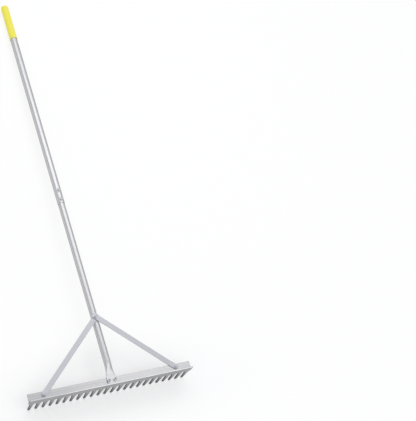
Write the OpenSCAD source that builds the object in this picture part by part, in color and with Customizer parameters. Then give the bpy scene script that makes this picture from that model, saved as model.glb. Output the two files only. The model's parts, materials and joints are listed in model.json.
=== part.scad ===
// Landscape rake: a one-piece tined head, a two-part tube handle and two flat braces, all bolted together.
// Heights are measured from the tine tips and distances along the handle from the blade's outer face.
// The finished rake lies as it rests on the ground, on its tine tips and the end of its grip.

/* [Head] */
// Number of tines
tine_count = 24; // [22:2:30]
// Distance from one tine to the next
tine_pitch = 25.4; // [24.4:0.1:30]
// Height of the blade's top edge
blade_height = 101.6; // [94:0.1:115]
// Thickness of the blade and its tines
blade_thickness = 4.8; // [4:0.1:6]
// Height of the round top of each gap
gap_height = 67; // [50:0.5:72]
// Width of a tine where it leaves the blade
tine_root_width = 12.8; // [10:0.1:14]
// Width of a tine at its tip
tine_tip_width = 7.2; // [5:0.1:9]
// Corner cut off each side of a tine's tip
tip_chamfer = 0.8; // [0.4:0.1:1.2]
// Height of the flange's upper face
flange_height = 81; // [79:0.5:86]
// Distance of the flange's back edge from the blade's outer face
flange_reach = 32.5; // [30:0.5:40]
// Thickness of the flange
flange_thickness = 4; // [3:0.1:5]
// Radius in the corners between flange and blade
flange_fillet = 1.5; // [0.5:0.1:2]

/* [Handle] */
// Length from the blade's outer face to the end of the grip
handle_length = 1676; // [1400:1:1900]
// Outside diameter of the lower tube
lower_diameter = 25.4; // [24:0.1:28]
// Wall of the lower tube
lower_wall = 1.5; // [1.2:0.1:2]
// Wall of the upper tube
upper_wall = 1; // [0.9:0.1:1.6]
// Room on each side between the tubes where one slides over the other
slide_clearance = 0.15; // [0.1:0.05:0.3]
// Distance of the upper tube's lower end
splice_start = 733; // [600:1:900]
// Length of the lower tube inside the upper one
splice_overlap = 80; // [70:1:120]
// Distance between the two splice bolts
splice_bolt_spacing = 39; // [30:1:45]
// Length over which the lower tube changes from round to flat
flare_length = 48; // [36:1:60]
// Height of the round tube's axis above the middle of its flat foot
tube_lift = 4.8; // [0:0.2:9]
// Width of the handle's flat foot
foot_width = 35; // [34:0.5:39]
// Distance between the two bolts in the handle's flat foot
foot_bolt_spacing = 22; // [20:0.5:24]

/* [Braces] */
// Width of the brace bar
brace_width = 19; // [16:0.5:22]
// Thickness of the brace bar
brace_thickness = 3; // [2.5:0.1:4]
// Distance of a brace's foot bolt from the middle of the head
brace_foot_offset = 248; // [180:1:255]
// Distance of the bolt that holds both braces to the handle
brace_bolt_distance = 257; // [220:1:400]
// Length of a brace's square end past that bolt
brace_end_length = 13; // [11:0.5:15]

/* [Grip] */
// Length of the grip
grip_length = 168; // [110:1:220]
// Wall of the grip
grip_wall = 1.2; // [1:0.1:3]
// Thickness of the grip's closed end
grip_end_wall = 3; // [2:0.5:5]
// Rounding of the grip's closed end
grip_end_radius = 9; // [5:0.5:12]

/* [Fasteners] */
// Diameter of the bolts
bolt_diameter = 6.35; // [5:0.05:6.6]
// Width of bolt heads and nuts across flats
hex_width = 11.1; // [10.5:0.1:12]
// Height of a bolt head
head_height = 4.2; // [3.5:0.1:5]
// Height of a nut's six-sided part
nut_height = 5.4; // [4.5:0.1:6]
// Height of the round collar on a lock nut
collar_height = 2.4; // [2:0.1:3]
// Room around a bolt in its holes
hole_clearance = 0.25; // [0.15:0.05:0.4]

/* [Hidden] */
fine = 96;
// Small play left around threads, pressed-in rings, the grip and nuts that sit on a round tube
play = 0.05;
// How far a cut runs past the faces it goes through
past = 1;
head_width = tine_count * tine_pitch;

// Gap between tines: a round top that runs on into two straight sides
gap_radius = (tine_pitch - tine_root_width) / 2;
gap_centre_height = gap_height - gap_radius;
gap_mouth = (tine_pitch - tine_tip_width) / 2;
gap_slant = acos(gap_radius / norm([gap_mouth, gap_centre_height])) - atan2(gap_centre_height, gap_mouth);

// Handle: the pressed foot is two walls thick
foot_thickness = 2 * lower_wall;
foot_blade_gap = 4;
foot_overhang = 3;
foot_start = blade_thickness + foot_blade_gap;
foot_end = flange_reach + foot_overhang;
foot_corner = 4;
foot_middle = flange_height + foot_thickness / 2;
axis_height = foot_middle + tube_lift;
lower_radius = lower_diameter / 2;
lower_bore = lower_radius - lower_wall;
lower_end = splice_start + splice_overlap;
upper_bore = lower_radius + slide_clearance;
upper_radius = upper_bore + upper_wall;
upper_end = handle_length - grip_end_wall - (grip_end_radius - grip_wall) - play;
splice_bolt_inset = 15.5;
first_splice_bolt = splice_start + splice_bolt_inset;
second_splice_bolt = first_splice_bolt + splice_bolt_spacing;
grip_radius = upper_radius + play + grip_wall;

// Flare between foot and tube: its rings are let into both by a small overlap
flare_overlap = 0.5;
flare_inset = 0.05;
flare_rings = 14;
flare_sides = 48;
flare_squareness = 3;
flare_hollow_start = 0.14;
// The round tube's lower end is thinned on both sides, so that it runs into the flare's wall
flare_edge = lower_wall / 3;
flare_edge_length = 4;

// Bolts: all of the head's bolts stand on one line, a little behind the middle of the flange's clear strip
bolt_line_share = 0.57;
bolt_line = blade_thickness + bolt_line_share * (flange_reach - blade_thickness);
bolt_radius = bolt_diameter / 2;
hole_radius = bolt_radius + hole_clearance;
bolt_end_depth = 0.8;
collar_radius = 0.46 * hex_width;
insert_height = 0.8 * collar_height;
insert_radius = 0.38 * hex_width;
flange_underside = flange_height - flange_thickness;

// Braces: flat on the flange, then rising to lie one over the other on the handle
brace_seat = axis_height + lower_radius + play;
brace_run = [-brace_foot_offset, brace_bolt_distance - bolt_line];
brace_length = norm(brace_run);
brace_angle = atan2(brace_run[1], brace_foot_offset);
brace_flange_end = (flange_reach - bolt_line + brace_width / 2 * cos(brace_angle)) / sin(brace_angle);
brace_bend_margin = 3;
brace_tab_length = 16;
brace_corner = 2;

// One line for each bolted joint: name, place, height of the bolt head's seat and of the nut's seat
JOINTS = [
    ["left_foot", [-foot_bolt_spacing / 2, bolt_line], flange_underside, flange_height + foot_thickness],
    ["right_foot", [foot_bolt_spacing / 2, bolt_line], flange_underside, flange_height + foot_thickness],
    ["left_brace_foot", [-brace_foot_offset, bolt_line], flange_underside, flange_height + brace_thickness],
    ["right_brace_foot", [brace_foot_offset, bolt_line], flange_underside, flange_height + brace_thickness],
    ["brace_top", [0, brace_bolt_distance], axis_height - lower_radius - play, brace_seat + 2 * brace_thickness],
    ["lower_splice", [0, first_splice_bolt], axis_height - upper_radius - play, axis_height + upper_radius + play],
    ["upper_splice", [0, second_splice_bolt], axis_height - upper_radius - play, axis_height + upper_radius + play]
];

// Resting attitude: the back edges of the tips and the grip's rounded end both touch the ground
touch_distance = handle_length - grip_end_radius;
touch_height = axis_height - grip_radius + grip_end_radius;
touch_reach = touch_distance - blade_thickness;
rest_angle = atan2(touch_height, touch_reach) - asin(grip_end_radius / norm([touch_reach, touch_height]));
rest_top = axis_height + grip_radius - grip_end_radius;
rest_length = touch_distance * cos(rest_angle) + rest_top * sin(rest_angle) + grip_end_radius;

// Lays the rake down, with the middle of its length over the origin
module at_rest() {
    translate([0, -rest_length / 2, blade_thickness * sin(rest_angle)])
        rotate([-rest_angle, 0, 0]) children();
}

// Turns a shape drawn up its own axis so that it runs along the handle from the given distance
module along_handle(distance) {
    translate([0, distance, axis_height]) rotate([-90, 0, 0]) children();
}

// Upright bolt hole through everything at one joint
module bolt_hole(place) {
    translate([place[0], place[1], 0]) cylinder(r = hole_radius, h = 2 * blade_height, $fn = fine);
}

// Outline of one gap, open at the bottom
module gap_outline() {
    side = [gap_radius * cos(gap_slant), gap_centre_height + gap_radius * sin(gap_slant)];
    lip = [gap_mouth - tip_chamfer * tan(gap_slant), tip_chamfer];
    mouth = [gap_mouth + tip_chamfer, 0];
    translate([0, gap_centre_height]) circle(r = gap_radius, $fn = fine);
    polygon([
        [-side[0], side[1]], side, lip, mouth, [mouth[0], -past],
        [-mouth[0], -past], [-mouth[0], 0], [-lip[0], lip[1]]
    ]);
}

// Section of the head: the blade with the flange behind it
module head_section() {
    square([blade_thickness, blade_height]);
    translate([0, flange_underside]) square([flange_reach, flange_thickness]);
    difference() {
        translate([0, flange_underside - flange_fillet])
            square([blade_thickness + flange_fillet, flange_thickness + 2 * flange_fillet]);
        for (height = [flange_underside - flange_fillet, flange_height + flange_fillet])
            translate([blade_thickness + flange_fillet, height]) circle(r = flange_fillet, $fn = fine);
    }
}

module rake_head() {
    color("#c3c6cb") at_rest() difference() {
        translate([-head_width / 2, 0, 0]) rotate([90, 0, 90]) linear_extrude(head_width) head_section();
        for (i = [0:tine_count])
            translate([(i - tine_count / 2) * tine_pitch, blade_thickness + past, 0])
                rotate([90, 0, 0]) linear_extrude(blade_thickness + 2 * past) gap_outline();
        for (i = [0:3]) bolt_hole(JOINTS[i][1]);
    }
}

// One ring of the flare, t from 0 at the flat foot to 1 at the round tube, drawn in by an inset
function flare_ring(t, inset) =
    let (
        s = t * t * (3 - 2 * t),
        half_width = foot_width / 2 + (lower_radius - foot_width / 2) * s - inset,
        half_height = foot_thickness / 2 + (lower_radius - foot_thickness / 2) * s - inset,
        power = 1 / (1 + (flare_squareness - 1) * (1 - s)),
        distance = foot_end + (flare_length + flare_overlap) * t,
        height = foot_middle + tube_lift * s
    )
    [for (i = [0:flare_sides - 1])
        let (c = cos(i * 360 / flare_sides), d = sin(i * 360 / flare_sides))
        [
            half_width * sign(c) * pow(abs(c), power),
            distance,
            height + half_height * sign(d) * pow(abs(d), power)
        ]
    ];

// Solid skinned over a list of rings
module loft(rings) {
    n = len(rings[0]);
    last = (len(rings) - 1) * n;
    sides = [
        for (r = [0:len(rings) - 2], i = [0:n - 1])
            let (a = r * n + i, b = r * n + (i + 1) % n)
            for (face = [[a, b, b + n], [a, b + n, a + n]]) face
    ];
    caps = [[for (i = [n - 1:-1:0]) i], [for (i = [0:n - 1]) last + i]];
    polyhedron([for (ring = rings) each ring], concat(sides, caps));
}

module flare() {
    step = 1 / (flare_rings - 1);
    hollow = (1 - flare_hollow_start) / (flare_rings - 1);
    difference() {
        loft([for (i = [0:flare_rings - 1]) flare_ring(i * step, flare_inset)]);
        loft([
            for (i = [0:flare_rings])
                flare_ring(flare_hollow_start + i * hollow, lower_wall - flare_inset)
        ]);
    }
}

// Flat foot with rounded front corners
module handle_foot() {
    half = foot_width / 2 - foot_corner;
    translate([0, 0, flange_height]) linear_extrude(foot_thickness) {
        translate([-half, foot_start]) square([2 * half, foot_corner]);
        translate([-foot_width / 2, foot_start + foot_corner])
            square([foot_width, foot_end + flare_overlap - foot_start - foot_corner]);
        for (side = [-1, 1])
            translate([side * half, foot_start + foot_corner]) circle(r = foot_corner, $fn = fine);
    }
}

module lower_handle() {
    tube_start = foot_end + flare_length;
    length = lower_end - tube_start;
    color("#d2d4d8") at_rest() difference() {
        union() {
            handle_foot();
            flare();
            along_handle(tube_start) rotate_extrude($fn = fine) polygon([
                [lower_radius - flare_edge, -flare_edge_length], [lower_radius, 0], [lower_radius, length],
                [lower_bore, length], [lower_bore, 0], [lower_bore + flare_edge, -flare_edge_length]
            ]);
        }
        for (i = [0, 1, 4, 5, 6]) bolt_hole(JOINTS[i][1]);
    }
}

module upper_handle() {
    length = upper_end - splice_start;
    color("#d6d8dc") at_rest() difference() {
        along_handle(splice_start) difference() {
            cylinder(r = upper_radius, h = length, $fn = fine);
            translate([0, 0, -past]) cylinder(r = upper_bore, h = length + 2 * past, $fn = fine);
        }
        for (i = [5, 6]) bolt_hole(JOINTS[i][1]);
    }
}

// Half section of a round bar with one rounded end
module rounded_bar(radius, length, corner) {
    intersection() {
        square([radius, length]);
        union() {
            square([radius, length - corner]);
            square([radius - corner, length]);
            translate([radius - corner, length - corner]) circle(r = corner, $fn = fine);
        }
    }
}

module end_grip() {
    color("#efe24e") at_rest() along_handle(handle_length - grip_length) rotate_extrude($fn = fine)
        difference() {
            rounded_bar(grip_radius, grip_length, grip_end_radius);
            rounded_bar(grip_radius - grip_wall, grip_length - grip_end_wall, grip_end_radius - grip_wall);
        }
}

// Outline of a brace from above, round at the foot bolt and square past the handle bolt
module brace_outline() {
    half = brace_width / 2 - brace_corner;
    end = brace_length + brace_end_length;
    circle(d = brace_width, $fn = fine);
    translate([0, -brace_width / 2]) square([end - brace_corner, brace_width]);
    translate([0, -half]) square([end, 2 * half]);
    for (edge = [-half, half]) translate([end - brace_corner, edge]) circle(r = brace_corner, $fn = fine);
}

// Brace bar from its foot bolt to the handle bolt; lift is the height of its upper seat
module brace(side, lift) {
    rise_start = brace_flange_end + brace_bend_margin;
    rise_end = brace_length - brace_tab_length;
    under = [
        [-brace_width, flange_height], [rise_start, flange_height],
        [rise_end, lift], [brace_length + brace_width, lift]
    ];
    over = [for (i = [3:-1:0]) under[i] + [0, brace_thickness]];
    color("#c4c7d0") at_rest() difference() {
        translate([side * brace_foot_offset, bolt_line, 0])
            rotate([0, 0, 90 + side * (90 - brace_angle)]) intersection() {
                translate([0, brace_width / 2, 0]) rotate([90, 0, 0])
                    linear_extrude(brace_width) polygon(concat(under, over));
                linear_extrude(2 * blade_height) brace_outline();
            }
        bolt_hole([side * brace_foot_offset, bolt_line]);
        bolt_hole([0, brace_bolt_distance]);
    }
}

module left_brace() brace(-1, brace_seat);

module right_brace() brace(1, brace_seat + brace_thickness);

// Six-sided body with its upper corners turned off at 30 degrees
module hexagon(height) {
    flat = hex_width / 2;
    point = flat / cos(30);
    intersection() {
        rotate(30) cylinder(r = point, h = height, $fn = 6);
        rotate_extrude($fn = fine)
            polygon([[0, 0], [point, 0], [point, height - (point - flat) * tan(30)], [flat, height], [0, height]]);
    }
}

// Bolt put in from below, head down
module joint_bolt(joint) {
    end = joint[3] + nut_height + collar_height - bolt_end_depth;
    color("#b4b7bb") at_rest() translate([joint[1][0], joint[1][1], joint[2]]) {
        mirror([0, 0, 1]) hexagon(head_height);
        cylinder(r = bolt_radius, h = end - joint[2], $fn = fine);
    }
}

// Lock nut: a six-sided nut with a round collar that holds a plastic ring
module joint_nut(joint) {
    total = nut_height + collar_height;
    color("#c0c3c7") at_rest() translate([joint[1][0], joint[1][1], joint[3]]) difference() {
        union() {
            hexagon(nut_height);
            cylinder(r = collar_radius, h = total, $fn = fine);
        }
        translate([0, 0, -past]) cylinder(r = bolt_radius + play, h = total + 2 * past, $fn = fine);
        translate([0, 0, total - insert_height]) cylinder(r = insert_radius + play, h = total, $fn = fine);
    }
}

// Plastic ring pressed into a nut's collar
module joint_insert(joint) {
    seat = joint[3] + nut_height + collar_height - insert_height;
    color("#dfe2e0") at_rest() translate([joint[1][0], joint[1][1], seat]) difference() {
        cylinder(r = insert_radius, h = insert_height - play, $fn = fine);
        translate([0, 0, -past]) cylinder(r = bolt_radius + play, h = insert_height + 2 * past, $fn = fine);
    }
}

rake_head();
lower_handle();
upper_handle();
end_grip();
left_brace();
right_brace();
for (joint = JOINTS) {
    joint_bolt(joint);
    joint_nut(joint);
    joint_insert(joint);
}
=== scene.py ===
import json
import math

import bmesh
import bpy
from mathutils import Matrix, Vector


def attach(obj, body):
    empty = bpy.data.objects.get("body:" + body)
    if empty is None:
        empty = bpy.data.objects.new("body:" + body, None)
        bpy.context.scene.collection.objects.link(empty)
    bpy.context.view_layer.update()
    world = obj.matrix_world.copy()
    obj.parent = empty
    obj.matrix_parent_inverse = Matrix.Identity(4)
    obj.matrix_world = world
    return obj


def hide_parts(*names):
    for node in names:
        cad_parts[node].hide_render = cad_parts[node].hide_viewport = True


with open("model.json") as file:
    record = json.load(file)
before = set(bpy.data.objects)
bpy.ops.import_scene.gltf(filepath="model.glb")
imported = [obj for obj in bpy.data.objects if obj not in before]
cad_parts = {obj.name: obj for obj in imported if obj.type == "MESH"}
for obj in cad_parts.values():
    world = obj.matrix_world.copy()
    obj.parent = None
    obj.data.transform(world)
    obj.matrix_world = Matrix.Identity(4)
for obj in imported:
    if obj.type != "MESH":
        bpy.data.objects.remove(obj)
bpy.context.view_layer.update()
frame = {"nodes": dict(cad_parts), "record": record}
nodes = frame["nodes"]

# The rake's own directions: it rests with its handle leaning down towards the grip
mounts = {mount["name"]: mount for mount in frame["record"]["mounts"]}
gripPoint = Vector(mounts["grip_end"]["pos_m"])
facePoint = Vector(mounts["blade_face"]["pos_m"])
acrossHead = Vector((1, 0, 0))
alongHandle = Vector(mounts["grip_end"]["axis"])
upFromTips = acrossHead.cross(alongHandle)
ownAxes = Matrix((acrossHead, alongHandle, upFromTips)).transposed()
tilt = math.asin(-alongHandle.z)


# lowest and highest reach of a CAD node in one direction
def span(node, direction):
    reach = [vertex.co.dot(direction) for vertex in nodes[node].data.vertices]
    return min(reach), max(reach)


def middle(node, direction):
    return sum(span(node, direction)) / 2


faceAlong = facePoint.dot(alongHandle)  # outer face of the blade
tipsUp, headUp = span("rake_head", upFromTips)
axisUp = gripPoint.dot(upFromTips)  # middle of the round tubes
print("frame:", len(nodes), "nodes, handle leans", round(math.degrees(tilt), 2), "degrees")


# Camera

cameraLook = {
    "place": Vector((-1.1691, -1.6416, 3.4442)),
    "target": Vector((0.6150, -0.1889, 0.0)),  # floor point in the middle of the picture
    "turn": 37.69,  # degrees anticlockwise about the line of sight
    "lens": 87.1,
    "sensor": 36.0,
}


def makeCamera():
    data = bpy.data.cameras.new("camera")
    data.lens = cameraLook["lens"]
    data.sensor_width = cameraLook["sensor"]
    camera = bpy.data.objects.new("camera", data)
    bpy.context.scene.collection.objects.link(camera)
    sight = (cameraLook["target"] - cameraLook["place"]).to_track_quat("-Z", "Y").to_matrix()
    camera.matrix_world = (sight @ Matrix.Rotation(math.radians(cameraLook["turn"]), 3, "Z")).to_4x4()
    camera.location = cameraLook["place"]
    bpy.context.scene.camera = camera


makeCamera()
print("camera placed")


# Shader tools

class Signal:
    def __init__(self, finish, socket):
        self.finish = finish
        self.socket = socket

    def math(self, operation, first, second=0.0):
        return self.finish.node("ShaderNodeMath", {"operation": operation}, {0: first, 1: second})

    def __add__(self, other):
        return self.math("ADD", self, other)

    __radd__ = __add__

    def __rsub__(self, other):
        return self.math("SUBTRACT", other, self)

    def __mul__(self, other):
        return self.math("MULTIPLY", self, other)

    def __abs__(self):
        return self.math("ABSOLUTE", self)

    # 0 at the first value and 1 at the second, with soft ends
    def between(self, first, second):
        sockets = {"Value": self, "From Min": first, "From Max": second}
        return self.finish.node("ShaderNodeMapRange", {"interpolation_type": "SMOOTHSTEP"}, sockets)


class Finish:
    def __init__(self, owner):
        self.owner = owner
        owner.use_nodes = True
        self.tree = owner.node_tree
        self.tree.nodes.clear()

    # one node: its type, its settings, the values or links of its sockets, and the output wanted
    def node(self, kind, settings=None, inputs=None, out=0):
        made = self.tree.nodes.new(kind)
        for name, value in (settings or {}).items():
            setattr(made, name, value)
        for name, value in (inputs or {}).items():
            if isinstance(value, Signal):
                self.tree.links.new(value.socket, made.inputs[name])
            else:
                made.inputs[name].default_value = value
        return Signal(self, made.outputs[out]) if made.outputs else made

    def vector(self, operation, first, second=(0, 0, 0), out=0):
        return self.node("ShaderNodeVectorMath", {"operation": operation}, {0: first, 1: second}, out)

    # place in the rake's own frame: across, from the blade's face along the handle, up from the tips
    def place(self, stretch=(1, 1, 1), turn=0.0):
        point = self.node("ShaderNodeTexCoord", out="Object")
        own = self.node("ShaderNodeMapping", inputs={
            "Vector": point, "Rotation": (tilt, 0, 0), "Location": (0, -faceAlong, -tipsUp)})
        if turn:
            own = self.node("ShaderNodeMapping", inputs={"Vector": own, "Rotation": (0, 0, turn)})
        return self.node("ShaderNodeMapping", inputs={"Vector": own, "Scale": stretch})

    # one of the three measures of that place
    def measure(self, axis):
        return self.node("ShaderNodeSeparateXYZ", inputs={0: self.place()}, out=axis)

    # how far the surface faces a direction, from -1 to 1
    def facing(self, direction):
        return self.vector("DOT_PRODUCT", self.node("ShaderNodeTexCoord", out="Normal"), direction, "Value")

    def noise(self, place, detail=2.0, roughness=0.5):
        return self.node("ShaderNodeTexNoise", inputs={
            "Vector": place, "Scale": 1.0, "Detail": detail, "Roughness": roughness})

    # fine lines left by drawing or rolling
    def lines(self, stretch, turn=0.0):
        return self.noise(self.place(stretch, turn), detail=3)

    # broad uneven patches
    def cloud(self, stretch):
        return self.noise(self.place(stretch), detail=4, roughness=0.6)

    def blend(self, share, first, second):
        return self.node("ShaderNodeMix", {"data_type": "RGBA"}, {0: share, 6: first, 7: second}, 2)

    def bump(self, height, distance):
        return self.node("ShaderNodeBump", inputs={"Height": height, "Distance": distance}, out="Normal")

    def surface(self, **sockets):
        shader = self.node("ShaderNodeBsdfPrincipled", inputs={
            name.replace("_", " "): value for name, value in sockets.items()})
        self.node("ShaderNodeOutputMaterial", inputs={"Surface": shader})
        return self.owner


def newFinish(name):
    return Finish(bpy.data.materials.new(name))


# Mesh tools

meshLook = {
    "weld": 1e-6,
    "flatBelow": 0.5,  # degrees under which neighbouring faces become one
    "hardAbove": 35.0,  # degrees over which an edge is eased
    "easingSteps": 2,
    "roundSides": 96,
}


def fullTurn(sides):
    return [2 * math.pi * i / sides for i in range(sides)]


# angles that divide a quarter turn into equal steps
def quarterTurn(steps, first=0):
    return [math.pi / 2 * i / steps for i in range(first, steps + 1)]


# skin over a list of equal rings; closed joins the last ring to the first
def loft(rings, capStart=False, capEnd=False, closed=False):
    count = len(rings[0])
    points = [point for ring in rings for point in ring]
    faces = []
    for step in range(len(rings) if closed else len(rings) - 1):
        low, high = step * count, (step + 1) % len(rings) * count
        for turn in range(count):
            after = (turn + 1) % count
            faces.append((low + turn, low + after, high + after, high + turn))
    if capStart:
        faces.append(tuple(reversed(range(count))))
    if capEnd:
        faces.append(tuple(range(len(points) - count, len(points))))
    return points, faces


# a piece from a shape in the rake's own frame, in place of a CAD node
def addPiece(name, shape, finish, replaced, sharp):
    points, faces = shape
    mesh = bpy.data.meshes.new(name)
    mesh.from_pydata([ownAxes @ Vector(point) for point in points], [], faces)
    body = bmesh.new()
    body.from_mesh(mesh)
    bmesh.ops.recalc_face_normals(body, faces=body.faces)
    body.to_mesh(mesh)
    body.free()
    showPiece(name, mesh, finish, replaced, sharp)


# sharp is the angle in degrees over which an edge isn't shaded smooth
def showPiece(name, mesh, finish, replaced, sharp):
    mesh.polygons.foreach_set("use_smooth", [True] * len(mesh.polygons))
    mesh.set_sharp_from_angle(angle=math.radians(sharp))
    mesh.materials.clear()
    mesh.materials.append(finish)
    piece = bpy.data.objects.new(name, mesh)
    bpy.context.scene.collection.objects.link(piece)
    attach(piece, "root")
    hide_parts(replaced)
    return piece


# a CAD node with its hard edges eased, as a piece in its place
def easedPiece(name, node, easing, finish):
    mesh = nodes[node].data.copy()
    body = bmesh.new()
    body.from_mesh(mesh)
    bmesh.ops.remove_doubles(body, verts=body.verts, dist=meshLook["weld"])
    bmesh.ops.dissolve_limit(
        body, angle_limit=math.radians(meshLook["flatBelow"]), verts=body.verts, edges=body.edges)
    least = math.radians(meshLook["hardAbove"])
    hard = [edge for edge in body.edges if edge.is_manifold and edge.calc_face_angle() > least]
    bmesh.ops.bevel(body, geom=hard, offset=easing, segments=meshLook["easingSteps"], profile=0.5,
                    affect="EDGES", clamp_overlap=True)
    manySided = [face for face in body.faces if len(face.verts) > 4]
    bmesh.ops.triangulate(body, faces=manySided, ngon_method="BEAUTY")
    body.to_mesh(mesh)
    body.free()
    piece = showPiece(name, mesh, finish, node, sharp=50)
    piece.modifiers.new("even shading", "WEIGHTED_NORMAL").keep_sharp = True


# ring of points around the handle
def tubeRing(along, radius):
    turns = fullTurn(meshLook["roundSides"])
    return [(radius * math.sin(turn), along, axisUp + radius * math.cos(turn)) for turn in turns]


# Stage

stageLook = {
    "middleRadius": 2.0,  # first ring of the flat floor
    "coveRadius": 40.0,
    "coveHeight": 7.0,
    "coveBend": 5.0,
    "coveSteps": 12,
    "floorColour": (0.96, 0.96, 0.962, 1),
    # share of the floor that shows plain white to the camera and in the metal
    "glowAtHead": 0.42,
    "glowAway": 0.78,
    "glowPatch": (0.36, 0.09),  # half sizes of the patch around the head
    "glowFade": 2.6,  # patch sizes at which the full share is reached
    "skyLow": (0.43, 0.435, 0.45, 1),
    "skyHigh": (0.83, 0.835, 0.85, 1),
    "skyTop": (0, 0.15, 0.99),
    "skySpan": (0.0, 0.85),  # heights between which the sky brightens
    # lamps: place, aim, size and power
    "lamps": {
        "overhead panel": (Vector((0.3, 1.8, 3.1)), Vector((0.0, -0.2, 0.0)), (4.6, 1.8), 33),
        "side box": (Vector((1.25, 0.2, 3.0)), Vector((0.1, -0.8, 0.0)), (0.7, 0.8), 1.8),
        "front fill": (Vector((0.2, -1.8, 3.0)), Vector((0.0, -0.6, 0.0)), (3.4, 1.3), 15),
    },
}


# matt paper, shown partly as plain white; a patch around the head keeps more of its shadow
def floorPaper():
    paper = newFinish("pale floor")
    matt = paper.node("ShaderNodeBsdfDiffuse", inputs={"Color": stageLook["floorColour"]})
    glow = paper.node("ShaderNodeEmission", inputs={"Color": (1, 1, 1, 1), "Strength": 1.0})
    seen = [paper.node("ShaderNodeLightPath", out=ray) for ray in
            ("Is Camera Ray", "Is Glossy Ray", "Is Transmission Ray")]
    point = paper.vector("SUBTRACT", paper.node("ShaderNodeTexCoord", out="Object"), (0, facePoint.y, 0))
    point = paper.vector("DIVIDE", point, stageLook["glowPatch"] + (1,))
    away = paper.vector("LENGTH", point, out="Value").between(1.0, stageLook["glowFade"])
    gain = stageLook["glowAway"] - stageLook["glowAtHead"]
    share = (seen[0] + seen[1] + seen[2]) * (stageLook["glowAtHead"] + away * gain)
    mixed = paper.node("ShaderNodeMixShader", inputs={0: share, 1: matt, 2: glow})
    paper.node("ShaderNodeOutputMaterial", inputs={"Surface": mixed})
    return paper.owner


# floor that bends up into a low wall far away on all sides
def makeFloor():
    radius, bend = stageLook["coveRadius"], stageLook["coveBend"]
    profile = [(stageLook["middleRadius"], 0.0)]
    for turn in quarterTurn(stageLook["coveSteps"]):
        profile.append((radius - bend * (1 - math.sin(turn)), bend * (1 - math.cos(turn))))
    profile.append((radius, stageLook["coveHeight"]))
    turns = fullTurn(meshLook["roundSides"])
    rings = [[(size * math.cos(turn), size * math.sin(turn), up) for turn in turns] for size, up in profile]
    points, faces = loft(rings, capStart=True)
    mesh = bpy.data.meshes.new("floor")
    mesh.from_pydata(points, [], faces)
    mesh.polygons.foreach_set("use_smooth", [True] * len(mesh.polygons))
    mesh.materials.append(floorPaper())
    floor = bpy.data.objects.new("floor", mesh)
    bpy.context.scene.collection.objects.link(floor)


def makeSky():
    world = bpy.data.worlds.new("studio")
    bpy.context.scene.world = world
    sky = Finish(world)
    direction = sky.node("ShaderNodeTexCoord", out="Generated")
    height = sky.vector("DOT_PRODUCT", direction, stageLook["skyTop"], "Value")
    colour = sky.blend(height.between(*stageLook["skySpan"]), stageLook["skyLow"], stageLook["skyHigh"])
    glow = sky.node("ShaderNodeBackground", inputs={"Color": colour, "Strength": 1.0})
    sky.node("ShaderNodeOutputWorld", inputs={"Surface": glow})


def makeLamps():
    for name, (place, aim, size, power) in stageLook["lamps"].items():
        data = bpy.data.lights.new(name, "AREA")
        data.shape = "RECTANGLE"
        data.size, data.size_y = size
        data.energy = power
        lamp = bpy.data.objects.new(name, data)
        bpy.context.scene.collection.objects.link(lamp)
        lamp.location = place
        lamp.rotation_euler = (aim - place).to_track_quat("-Z", "Y").to_euler()


makeFloor()
makeSky()
makeLamps()
print("stage lit")


# Finishes

# noise is in waves per metre across, along and up; a cloud also makes the roughness uneven
tubeLook = {
    "pale": (0.64, 0.64, 0.652, 1),
    "dark": (0.53, 0.53, 0.541, 1),
    "edge": (0.30, 0.30, 0.31, 1),  # tint of the metal seen along its surface
    "upperShade": 1.03,  # the upper tube is slightly paler
    "lines": (900, 6, 900),
    "lineDepth": 0.00003,
    "lineShare": 0.6,
    "cloud": (55, 20, 55),
    "roughness": 0.33,
    "uneven": 0.12,
}


# drawn tube: fine lines along it and a faint cloud
def drawnTube(name, shade=1.0):
    finish = newFinish(name)
    lines, cloud = finish.lines(tubeLook["lines"]), finish.cloud(tubeLook["cloud"])
    pale, dark = [tuple(c * shade for c in tubeLook[tone][:3]) + (1,) for tone in ("pale", "dark")]
    share = tubeLook["lineShare"]
    colour = finish.blend(lines * share + cloud * (1 - share), dark, pale)
    return finish.surface(
        Base_Color=colour, Metallic=1.0, Roughness=tubeLook["roughness"] + cloud * tubeLook["uneven"],
        Specular_Tint=tubeLook["edge"], Normal=finish.bump(lines, tubeLook["lineDepth"]))


headLook = {
    "pale": (0.56, 0.56, 0.571, 1),
    "dark": (0.38, 0.38, 0.389, 1),
    "front": (0.60, 0.60, 0.608, 1),  # outer face of the blade, set paler as painted sheen
    "cornerHighlight": (0.76, 0.76, 0.77, 1),  # painted highlight along the front corner of the blade's top
    "tip": (0.24, 0.24, 0.243, 1),  # painted shade, darkening the tines towards their tips
    "cutAndShade": (0.18, 0.18, 0.184, 1),  # cut sides of the tines: darker sheared metal, deepened with painted shade between the tines
    "edge": (0.4, 0.4, 0.41, 1),
    "lines": (5, 800, 800),
    "lineDepth": 0.00004,
    "streaks": (2, 260, 260),
    "streakRange": (0.3, 0.7),  # noise that is all dark and all pale
    "cloud": (40, 40, 40),
    "shares": (0.5, 0.2, 0.3),  # streaks, lines and cloud in the tone
    "frontFacing": (0.5, 0.9),  # how squarely a surface faces forwards to count as the blade's face
    "cutFacing": (0.4, 0.8),  # the same sideways for the cut sides
    "tipCover": 0.75,  # least painted shade at the tips, and what the cloud adds
    "tipPatches": 0.4,
    "sheenCover": 0.6,  # least share of the painted sheen on the blade's face and of the painted highlight on its top corner, and what the cloud adds
    "sheenPatches": 0.5,
    "roughness": 0.24,
    "uneven": 0.10,
    "frontRoughness": 0.14,  # added on the blade's face
    "cutRoughness": 0.2,  # added on the cut sides
    "gapTop": 0.067,  # height of the gaps between the tines
    "gapFade": 0.001,
    # width of the painted highlight on the blade's top corner
    "highlightWidth": 0.0012,
}
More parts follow.
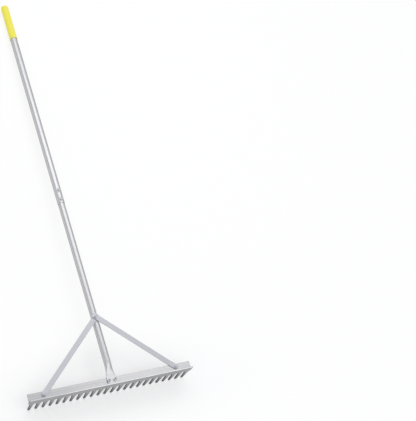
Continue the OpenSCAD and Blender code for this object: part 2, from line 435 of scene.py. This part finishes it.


# extrusion with streaks along the head, a paler blade face with painted sheen, dark punched gaps partly darkened
# with painted shade, painted shade towards the tips and a painted highlight on the blade's top corner
def extrudedHead():
    finish = newFinish("head aluminium")
    lines, cloud = finish.lines(headLook["lines"]), finish.cloud(headLook["cloud"])
    streaks = finish.noise(finish.place(headLook["streaks"]), detail=4, roughness=0.7)
    streaks = streaks.between(*headLook["streakRange"])
    height, fromFace = finish.measure("Z"), finish.measure("Y")
    gapTop, top, width = headLook["gapTop"], headUp - tipsUp, headLook["highlightWidth"]

    # where each tone lies
    front = (0 - finish.facing(alongHandle)).between(*headLook["frontFacing"])
    # painted shade growing towards the tips of the tines
    low = height.between(gapTop, 0.0) * (headLook["tipCover"] + cloud * headLook["tipPatches"])
    inGap = height.between(gapTop + headLook["gapFade"], gapTop)
    # cut sides in the gaps between the tines: their own darker tone plus painted shade
    cut = (1 - abs(finish.facing(alongHandle))).between(*headLook["cutFacing"]) * inGap
    # painted highlight: a pale band along the front corner of the blade's top
    cornerHighlight = height.between(top - width, top - width / 3) * fromFace.between(2 * width, width)

    shares = headLook["shares"]
    tone = streaks * shares[0] + lines * shares[1] + cloud * shares[2]
    # patchy share of the painted sheen on the blade's face and the painted highlight on its corner
    sheenShare = headLook["sheenCover"] + cloud * headLook["sheenPatches"]
    colour = finish.blend(tone, headLook["dark"], headLook["pale"])
    colour = finish.blend(front * sheenShare, colour, headLook["front"])
    colour = finish.blend(low, colour, headLook["tip"])
    colour = finish.blend(cut, colour, headLook["cutAndShade"])
    colour = finish.blend(cornerHighlight * sheenShare, colour, headLook["cornerHighlight"])
    roughness = (headLook["roughness"] + cloud * headLook["uneven"]
                 + front * headLook["frontRoughness"] + cut * headLook["cutRoughness"])
    return finish.surface(
        Base_Color=colour, Metallic=1.0, Roughness=roughness, Specular_Tint=headLook["edge"],
        Normal=finish.bump(lines, headLook["lineDepth"]))


barLook = {
    "pale": (0.53, 0.535, 0.565, 1),
    "dark": (0.45, 0.455, 0.482, 1),
    "edge": (0.5, 0.5, 0.52, 1),
    "lines": (6, 700, 700),  # along, across and up from the bar
    "lineDepth": 0.00003,
    "lineShare": 0.4,
    "cloud": (60, 60, 60),
    "roughness": 0.40,
    "uneven": 0.12,
}


# plated flat bar, rolled lengthwise
def platedBar(name, turn):
    finish = newFinish(name)
    lines, cloud = finish.lines(barLook["lines"], turn), finish.cloud(barLook["cloud"])
    share = barLook["lineShare"]
    colour = finish.blend(lines * share + cloud * (1 - share), barLook["dark"], barLook["pale"])
    return finish.surface(
        Base_Color=colour, Metallic=1.0, Roughness=barLook["roughness"] + cloud * barLook["uneven"],
        Specular_Tint=barLook["edge"], Normal=finish.bump(lines, barLook["lineDepth"]))


zincLook = {
    "pale": (0.76, 0.77, 0.79, 1),
    "dark": (0.62, 0.63, 0.65, 1),
    "shadedEnd": (0.06, 0.062, 0.065, 1),  # flat in the middle of a foot bolt's end: painted shade, as if deep in the nut
    "paleEnd": (0.50, 0.51, 0.53, 1),  # the same, lighter, on the other bolts: the cut end's own tone with some painted shade
    "endFacing": (0.95, 0.985),  # how squarely a surface faces up to count as that flat
    "cloud": (260, 260, 260),
    "nutRoughness": 0.28,
    "boltRoughness": 0.22,
    "endRoughness": 0.3,  # added on a bolt's end
    "uneven": 0.15,
}


def platedNut():
    finish = newFinish("zinc nut")
    cloud = finish.noise(finish.place(zincLook["cloud"]), detail=3)
    colour = finish.blend(cloud, zincLook["dark"], zincLook["pale"])
    roughness = zincLook["nutRoughness"] + cloud * zincLook["uneven"]
    return finish.surface(Base_Color=colour, Metallic=1.0, Roughness=roughness)


def platedBolt(name, endColour):
    finish = newFinish(name)
    cloud = finish.noise(finish.place(zincLook["cloud"]), detail=3)
    # the bolt's flat end, darkened with painted shade
    end = finish.facing(upFromTips).between(*zincLook["endFacing"])
    colour = finish.blend(cloud, zincLook["dark"], zincLook["pale"])
    colour = finish.blend(end, colour, endColour)
    roughness = zincLook["boltRoughness"] + cloud * zincLook["uneven"] + end * zincLook["endRoughness"]
    return finish.surface(Base_Color=colour, Metallic=1.0, Roughness=roughness)


nylonLook = {
    "pale": (0.62, 0.64, 0.66, 1),
    "dark": (0.50, 0.52, 0.54, 1),
    "cloud": (400, 400, 400),
    "roughness": 0.45,
    "uneven": 0.1,
}


def nylonRing():
    finish = newFinish("nylon ring")
    cloud = finish.noise(finish.place(nylonLook["cloud"]))
    colour = finish.blend(cloud, nylonLook["dark"], nylonLook["pale"])
    return finish.surface(Base_Color=colour, Roughness=nylonLook["roughness"] + cloud * nylonLook["uneven"])


vinylLook = {
    "pale": (0.88, 0.82, 0.095, 1),
    "dark": (0.83, 0.75, 0.07, 1),
    "cloud": (30, 18, 30),
    "grain": (1400, 1400, 1400),
    "grainDepth": 0.00003,
    "roughness": 0.38,
    "uneven": 0.1,
}


# dipped vinyl: soft clouds and a fine leathery grain
def dippedVinyl():
    finish = newFinish("yellow vinyl")
    cloud, grain = finish.cloud(vinylLook["cloud"]), finish.noise(finish.place(vinylLook["grain"]))
    colour = finish.blend(cloud, vinylLook["dark"], vinylLook["pale"])
    return finish.surface(
        Base_Color=colour, Roughness=vinylLook["roughness"] + cloud * vinylLook["uneven"],
        Normal=finish.bump(grain, vinylLook["grainDepth"]))


lowerMetal = drawnTube("lower tube aluminium")
upperMetal = drawnTube("upper tube aluminium", tubeLook["upperShade"])
headMetal = extrudedHead()
nutMetal = platedNut()
footBoltMetal = platedBolt("zinc foot bolt shaded end", zincLook["shadedEnd"])
boltMetal = platedBolt("zinc bolt", zincLook["paleEnd"])
ringNylon = nylonRing()
gripVinyl = dippedVinyl()
print("finishes made")


# Head and braces

easings = {"head": 0.0006, "brace": 0.0004}  # widths of the eased edges


def makeHead():
    easedPiece("tined_head", "rake_head", easings["head"], headMetal)
    top = Vector((middle("brace_top_nut", acrossHead), middle("brace_top_nut", alongHandle)))
    for side in ("left", "right"):
        foot = side + "_brace_foot_nut"
        run = top - Vector((middle(foot, acrossHead), middle(foot, alongHandle)))
        metal = platedBar(side + " bar steel", -math.atan2(run.y, run.x))
        easedPiece(side + "_bar", side + "_brace", easings["brace"], metal)


makeHead()
print("head and braces made")


# Handle

lowerLook = {
    "footLength": 0.0267,  # flat length that sits on the flange
    "flareLength": 0.056,
    "narrowStart": 0.006,  # the foot narrows from this far before its end
    "narrowLength": 0.034,
    "squareness": 10.0,  # how square the flat foot's section is
    "pressArc": 0.003,  # how much further the flat reaches in the middle than at its sides
    "pressCrease": 0.7,  # steepness of the rise behind the flat
    "cornerRadius": 0.004,
    "edgeEasing": 0.0003,
    "seam": 0.00012,  # half height of the slot between the pressed walls
    "seamDepth": 0.002,
    "seamWall": 2 / 3,  # wall at the slot's ends, as a share of the foot's half height
    "sides": 128,
    "cornerRings": 12,
    "flareRings": 48,
    "tubeRings": 12,
}


def softStep(t):
    t = min(max(t, 0.0), 1.0)
    return t * t * (3 - 2 * t)


# height of the tube's wall behind the flat, from 0 to 1: it starts at a crease and ends level
def rise(t):
    t = min(max(t, 0.0), 1.0)
    return softStep(t) + lowerLook["pressCrease"] * t * (1 - t) * (1 - t)


def makeLowerTube():
    start, end = span("lower_handle", alongHandle)
    footHalf = span("lower_handle", acrossHead)[1]
    radius = span("lower_handle", upFromTips)[1] - axisUp
    footTop = span("left_foot_nut", upFromTips)[0]
    footBottom = span("left_brace", upFromTips)[0]  # the brace lies on the flange too
    footMiddle, footHeight = (footTop + footBottom) / 2, (footTop - footBottom) / 2
    footEnd = start + lowerLook["footLength"]
    narrowStart, flareEnd = footEnd - lowerLook["narrowStart"], footEnd + lowerLook["flareLength"]
    arc, square = lowerLook["pressArc"], lowerLook["squareness"]

    # one section across the handle: flat foot and round tube blended by how far the tube has risen
    def section(along, halfWidth=footHalf, halfHeight=footHeight):
        ring = []
        width = halfWidth + (radius - halfWidth) * softStep((along - narrowStart) / lowerLook["narrowLength"])
        for turn in fullTurn(lowerLook["sides"]):
            across, side = math.sin(turn), math.copysign(1, math.cos(turn))
            flatEnd = footEnd + (arc * (1 - across * across) if side > 0 else 0)
            risen = rise((along - flatEnd) / (flareEnd - flatEnd))
            flat = footMiddle + side * halfHeight * max(1 - abs(across) ** square, 0.0) ** (1 / square)
            full = axisUp + radius * math.cos(turn)
            ring.append((width * across, along, flat + (full - flat) * risen))
        return ring

    # front edge with its seam and rounded corners, then the flare, then the round tube
    corner, ease, seam = lowerLook["cornerRadius"], lowerLook["edgeEasing"], lowerLook["seam"]
    inner = footHalf - corner - lowerLook["seamWall"] * footHeight
    rings = [
        section(start + lowerLook["seamDepth"], inner, seam),
        section(start, inner, seam),
        section(start, footHalf - corner, footHeight - ease),
    ]
    for turn in quarterTurn(lowerLook["cornerRings"], 1):
        back, inset = corner * (1 - math.cos(turn)), corner * (1 - math.sin(turn))
        rings.append(section(start + back, footHalf - inset, footHeight - ease * max(0, 1 - back / ease)))
    steps = lowerLook["flareRings"]
    rings += [section(narrowStart + (flareEnd - narrowStart) * i / steps) for i in range(steps + 1)]
    steps = lowerLook["tubeRings"]
    rings += [section(flareEnd + (end - flareEnd) * i / steps) for i in range(1, steps + 1)]
    shape = loft(rings, capStart=True, capEnd=True)
    addPiece("lower_tube", shape, lowerMetal, "lower_handle", sharp=50)
    return radius


upperLook = {
    "fit": 0.00015,  # play between the two tubes
    "innerRim": 0.0004,  # easing of the tube's end inside and outside
    "outerRim": 0.0006,
    "rimRings": 4,
    "tubeRings": 12,
}


def makeUpperTube(lowerRadius):
    start, end = span("upper_handle", alongHandle)
    radius = span("upper_handle", acrossHead)[1]
    bore = lowerRadius + upperLook["fit"]
    inner, outer, steps = upperLook["innerRim"], upperLook["outerRim"], upperLook["tubeRings"]
    profile = [(end, bore), (start + inner, bore), (start, bore + inner), (start, radius - outer)]
    for turn in quarterTurn(upperLook["rimRings"], 1):
        profile.append((start + outer * (1 - math.cos(turn)), radius - outer * (1 - math.sin(turn))))
    profile += [(start + (end - start) * i / steps, radius) for i in range(1, steps + 1)]
    shape = loft([tubeRing(along, size) for along, size in profile], closed=True)
    addPiece("upper_tube", shape, upperMetal, "upper_handle", sharp=35)
    return radius


gripLook = {
    "play": 0.00005,  # between the sleeve and the tube
    "endRadius": 0.009,
    "endEasing": 0.0004,  # step into the flat middle of the end
    "bead": 0.0004,  # thicker rolled edge at the open end
    "beadLength": 0.004,
    "beadRings": 8,
    "ripple": 0.00005,  # faint unevenness of the dipped sleeve
    "waves": (23, 9.7),  # two ripples, in radians along the sleeve
    "sleeveRings": 60,
    "endRings": 15,
}


def makeGrip(tubeRadius):
    start, end = span("end_grip", alongHandle)
    radius = span("end_grip", acrossHead)[1]
    corner, bead, length = gripLook["endRadius"], gripLook["bead"], gripLook["beadLength"]
    inside = tubeRadius + gripLook["play"]
    bottom = span("upper_handle", alongHandle)[1] + gripLook["play"]
    sleeve = radius - gripLook["ripple"]
    profile = [(bottom, inside / 2), (bottom, inside)]

    # rolled edge, then down to the sleeve
    steps = gripLook["beadRings"]
    wall = radius + bead - inside
    for i in range(steps + 1):
        turn = math.pi * (0.5 + i / steps)
        profile.append((start + length / 4 * (1 + math.cos(turn)), inside + wall / 2 * (1 - math.sin(turn))))
    for i in range(1, steps + 1):
        t = i / steps
        profile.append((start + length * (0.25 + t), radius + bead * (1 - softStep(t))))

    # sleeve and rounded end
    steps, (first, second) = gripLook["sleeveRings"], gripLook["waves"]
    sleeveStart = start + 1.5 * length
    for i in range(steps + 1):
        t = i / steps
        ripple = gripLook["ripple"] * (math.sin(first * t) + math.sin(second * t + 1)) * math.sin(math.pi * t)
        profile.append((sleeveStart + (end - corner - sleeveStart) * t, sleeve + ripple))
    for turn in quarterTurn(gripLook["endRings"], 1)[:-1]:
        profile.append((end - corner * (1 - math.sin(turn)), sleeve - corner * (1 - math.cos(turn))))
    profile += [(end, radius - corner - gripLook["endEasing"]), (end, (radius - corner) / 2)]
    shape = loft([tubeRing(along, size) for along, size in profile], capStart=True, capEnd=True)
    addPiece("vinyl_grip", shape, gripVinyl, "end_grip", sharp=60)


makeGrip(makeUpperTube(makeLowerTube()))
print("handle and grip made")


# Nuts and bolts

fastenerLook = {
    "footJoints": ("left_foot", "right_foot"),  # these two have painted shade on their bolt ends
    "boltRadius": 0.003175,
    "play": 0.00005,
    "sides": 96,
    "chamfer": math.radians(30),
    # radii as shares of half the width across flats
    "turned": 0.96,  # round faces of a nut and a head
    "collar": 0.92,
    "opening": 0.77,
    "headMiddle": 0.6,
    # nut
    "hexHeight": 0.0054,
    "collarFillet": 0.0002,
    "crimp": 0.0006,  # rounding at the top of the collar
    "crimpRings": 6,
    "lipDrop": 0.00005,
    "lipEasing": 0.0001,
    "openingDepth": 0.0019,
    # bolt
    "headHeight": 0.0042,
    "headEasing": 0.0003,
    "endDepth": 0.0002,  # bolt end below the top of its nut
    "endFlat": 0.6,  # flat middle of the bolt's end, as a share of its radius
    "endBevel": 0.00045,
}


# ring around an upright bolt; a six-sided ring is turned off towards a round one of the given radius
def boltRing(place, up, radius, flats=None, lean=0.0):
    ring = []
    spacing = math.pi / 3  # from one flat of the hexagon to the next
    for turn in fullTurn(fastenerLook["sides"]):
        reach, height = radius, up
        if flats:
            reach = flats / 2 / math.cos((turn + spacing / 2) % spacing - spacing / 2)
            height += lean * (reach - radius)
        ring.append((place.x + reach * math.cos(turn), place.y + reach * math.sin(turn), height))
    return ring


def makeNut(joint, place, flats):
    low, high = span(joint + "_nut", upFromTips)
    hexTop = low + fastenerLook["hexHeight"]
    bore = fastenerLook["boltRadius"] + fastenerLook["play"]
    turned, collar, opening = [fastenerLook[size] * flats / 2 for size in ("turned", "collar", "opening")]
    slope = math.tan(fastenerLook["chamfer"])
    fillet, crimp, ease = [fastenerLook[size] for size in ("collarFillet", "crimp", "lipEasing")]
    lip, floor = high - fastenerLook["lipDrop"], high - fastenerLook["openingDepth"]
    rings = [
        boltRing(place, low, bore),
        boltRing(place, low, turned),
        boltRing(place, low, turned, flats, slope),
        boltRing(place, hexTop, turned, flats, -slope),
        boltRing(place, hexTop, turned),
        boltRing(place, hexTop, collar + fillet),
        boltRing(place, hexTop + fillet, collar),
    ]
    for turn in quarterTurn(fastenerLook["crimpRings"]):
        rings.append(boltRing(place, high - crimp * (1 - math.sin(turn)), collar - crimp * (1 - math.cos(turn))))
    rings += [
        boltRing(place, lip, opening + ease),
        boltRing(place, lip - 2 * ease, opening),
        boltRing(place, floor, opening),
        boltRing(place, floor, bore),
    ]
    addPiece(joint + "_locknut", loft(rings, closed=True), nutMetal, joint + "_nut", sharp=30)


def makeBolt(joint, place, flats):
    low = span(joint + "_bolt", upFromTips)[0]
    seat = low + fastenerLook["headHeight"]
    end = span(joint + "_nut", upFromTips)[1] - fastenerLook["endDepth"]
    radius, bevel = fastenerLook["boltRadius"], fastenerLook["endBevel"]
    turned, headMiddle = [fastenerLook[size] * flats / 2 for size in ("turned", "headMiddle")]
    rings = [
        boltRing(place, low, headMiddle),
        boltRing(place, low, turned),
        boltRing(place, low, turned, flats, math.tan(fastenerLook["chamfer"])),
        boltRing(place, seat - fastenerLook["headEasing"], flats / 2, flats),
        boltRing(place, seat, turned),
        boltRing(place, seat, radius),
        boltRing(place, end - 2 * bevel, radius),
        boltRing(place, end - bevel, radius - bevel),
        boltRing(place, end, fastenerLook["endFlat"] * radius),
    ]
    metal = footBoltMetal if joint in fastenerLook["footJoints"] else boltMetal
    shape = loft(rings, capStart=True, capEnd=True)
    addPiece(joint + "_screw", shape, metal, joint + "_bolt", sharp=30)


def makeFasteners():
    for node in nodes:
        if node.endswith("_nut"):
            joint = node.removesuffix("_nut")
            left, right = span(node, acrossHead)
            place = Vector(((left + right) / 2, middle(node, alongHandle)))
            makeNut(joint, place, right - left)
            makeBolt(joint, place, right - left)
            nodes[joint + "_insert"].material_slots[0].material = ringNylon


makeFasteners()
print("nuts and bolts made")

bpy.context.scene.view_settings.view_transform = "Standard"
